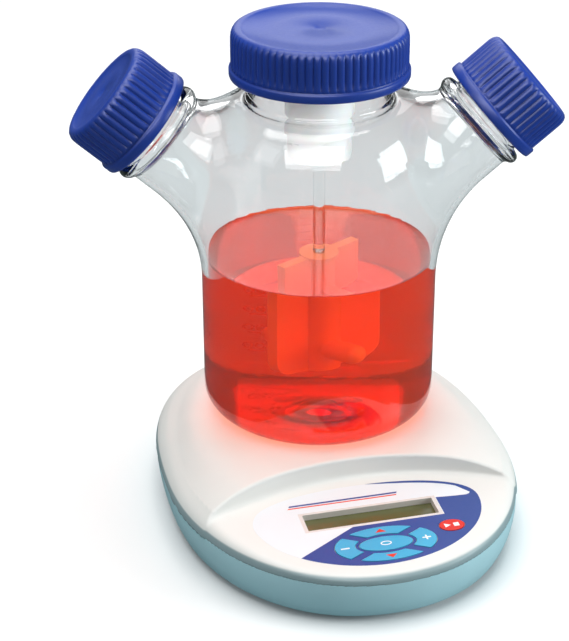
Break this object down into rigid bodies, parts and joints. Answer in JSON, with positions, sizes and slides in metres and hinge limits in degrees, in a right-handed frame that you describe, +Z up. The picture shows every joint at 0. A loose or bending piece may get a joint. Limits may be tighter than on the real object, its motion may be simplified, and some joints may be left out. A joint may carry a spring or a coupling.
{
  "type": "magnetic stirrer with spinner flask",
  "caption": "Low two-tone stirrer base with a display and key panel, carrying a three-neck glass spinner flask with blue caps and a hanging magnetic paddle impeller.",
  "frame": {"origin": "on the bench, under the centre of the bounding box of the whole assembly", "axes": "+Z up; -Y is the front, where the control panel is; +X to the right of someone facing the panel"},
  "size_m": [0.2306, 0.2166, 0.2312],
  "materials": {
    "shell_blue_grey": "satin",
    "cover_cream": "satin",
    "overlay_print": "semi-gloss printed film",
    "bezel_grey": "satin",
    "display_glass": "polished",
    "board_green": "satin",
    "gold_pins": "polished",
    "chip_black": "matte",
    "screw_steel": "machined",
    "switch_black": "matte",
    "motor_steel": "zinc plated",
    "bracket_steel": "zinc plated",
    "carrier_black": "matte",
    "magnet_nickel": "nickel plated",
    "bearing_bronze": "sintered",
    "inlet_black": "matte",
    "wire_red": "glossy",
    "flask_glass": "polished",
    "medium_orange": "liquid",
    "plug_white": "smooth",
    "seal_white": "smooth",
    "bearing_ptfe": "smooth",
    "cap_blue": "satin moulded",
    "rod_glass": "polished",
    "paddle_white": "smooth",
    "bar_white": "smooth",
    "key_blue": "semi-gloss printed film",
    "key_red": "semi-gloss printed film",
    "foot_rubber": "matte"
  },
  "bodies": {
    "base": {"board_components": "chip_black", "board_screws": "screw_steel", "case_screws": "screw_steel", "control_board": "board_green", "control_overlay": "overlay_print", "display_bezel": "bezel_grey", "display_glass": "display_glass", "display_module": "board_green", "display_pins": "gold_pins", "foot_front_left": "foot_rubber", "foot_front_right": "foot_rubber", "foot_rear_left": "foot_rubber", "foot_rear_right": "foot_rubber", "inlet_nut": "screw_steel", "key_switches": "switch_black", "lower_shell": "shell_blue_grey", "motor": "motor_steel", "motor_bearing": "bearing_bronze", "motor_bracket": "bracket_steel", "motor_leads": "wire_red", "motor_screws": "screw_steel", "power_inlet": "inlet_black", "power_leads": "wire_red", "top_cover": "cover_cream"},
    "drive_rotor": {"drive_shaft": "screw_steel", "magnet_carrier": "carrier_black", "drive_magnets": "magnet_nickel", "carrier_set_screw": "screw_steel"},
    "flask": {"flask_vessel": "flask_glass", "culture_medium": "medium_orange"},
    "closure": {"hanger_plug": "plug_white", "center_seal": "seal_white", "hanger_bearing": "bearing_ptfe"},
    "center_cap_body": {"center_cap": "cap_blue"},
    "impeller": {"impeller_shaft": "rod_glass", "shaft_collar": "bearing_ptfe", "paddle": "paddle_white", "stir_magnet": "bar_white"},
    "left_seal_body": {"left_seal": "seal_white"},
    "left_cap_body": {"left_cap": "cap_blue"},
    "right_seal_body": {"right_seal": "seal_white"},
    "right_cap_body": {"right_cap": "cap_blue"},
    "key_up_body": {"key_up": "key_blue"},
    "key_down_body": {"key_down": "key_blue"},
    "key_left_body": {"key_left": "key_blue"},
    "key_right_body": {"key_right": "key_blue"},
    "key_centre_body": {"key_centre": "key_blue"},
    "key_start_stop_body": {"key_start_stop": "key_red"}
  },
  "joints": [
    {"name": "drive_spin", "type": "hinge", "parent": "base", "child": "drive_rotor", "pos_m": [0, 0.0306, 0.03], "axis": [0, 0, 1], "continuous": true},
    {"name": "flask_lift", "type": "slide", "parent": "base", "child": "flask", "axis": [0, 0, 1], "range_m": [0, 0.1]},
    {"name": "closure_lift", "type": "slide", "parent": "flask", "child": "closure", "axis": [0, 0, 1], "range_m": [0, 0.19]},
    {"name": "center_cap_turn", "type": "hinge", "parent": "closure", "child": "center_cap_body", "pos_m": [0, 0.0306, 0.22], "axis": [0, 0, 1], "range_deg": [0, 360]},
    {"name": "impeller_spin", "type": "hinge", "parent": "closure", "child": "impeller", "pos_m": [0, 0.0306, 0.15], "axis": [0, 0, 1], "continuous": true},
    {"name": "left_closure_lift", "type": "slide", "parent": "flask", "child": "left_seal_body", "axis": [-0.744, 0.1046, 0.66], "range_m": [0, 0.05]},
    {"name": "left_cap_turn", "type": "hinge", "parent": "left_seal_body", "child": "left_cap_body", "pos_m": [-0.08556, 0.04262, 0.1924], "axis": [-0.744, 0.1046, 0.66], "range_deg": [0, 360]},
    {"name": "right_closure_lift", "type": "slide", "parent": "flask", "child": "right_seal_body", "axis": [0.744, -0.1046, 0.66], "range_m": [0, 0.05]},
    {"name": "right_cap_turn", "type": "hinge", "parent": "right_seal_body", "child": "right_cap_body", "pos_m": [0.08556, 0.01858, 0.1924], "axis": [0.744, -0.1046, 0.66], "range_deg": [0, 360]},
    {"name": "key_up_press", "type": "slide", "parent": "base", "child": "key_up_body", "axis": [0, 0.045, -0.999], "range_m": [0, 0.0004], "stiffness_N_per_m": 1500, "springref_m": -0.0002},
    {"name": "key_down_press", "type": "slide", "parent": "base", "child": "key_down_body", "axis": [0, 0.045, -0.999], "range_m": [0, 0.0004], "stiffness_N_per_m": 1500, "springref_m": -0.0002},
    {"name": "key_left_press", "type": "slide", "parent": "base", "child": "key_left_body", "axis": [0, 0.045, -0.999], "range_m": [0, 0.0004], "stiffness_N_per_m": 1500, "springref_m": -0.0002},
    {"name": "key_right_press", "type": "slide", "parent": "base", "child": "key_right_body", "axis": [0, 0.045, -0.999], "range_m": [0, 0.0004], "stiffness_N_per_m": 1500, "springref_m": -0.0002},
    {"name": "key_centre_press", "type": "slide", "parent": "base", "child": "key_centre_body", "axis": [0, 0.045, -0.999], "range_m": [0, 0.0004], "stiffness_N_per_m": 1500, "springref_m": -0.0002},
    {"name": "key_start_stop_press", "type": "slide", "parent": "base", "child": "key_start_stop_body", "axis": [0, 0.045, -0.999], "range_m": [0, 0.0004], "stiffness_N_per_m": 1500, "springref_m": -0.0002}
  ],
  "couplings": [
    {"joint": "impeller_spin", "follows": "drive_spin", "ratio": 1}
  ]
}
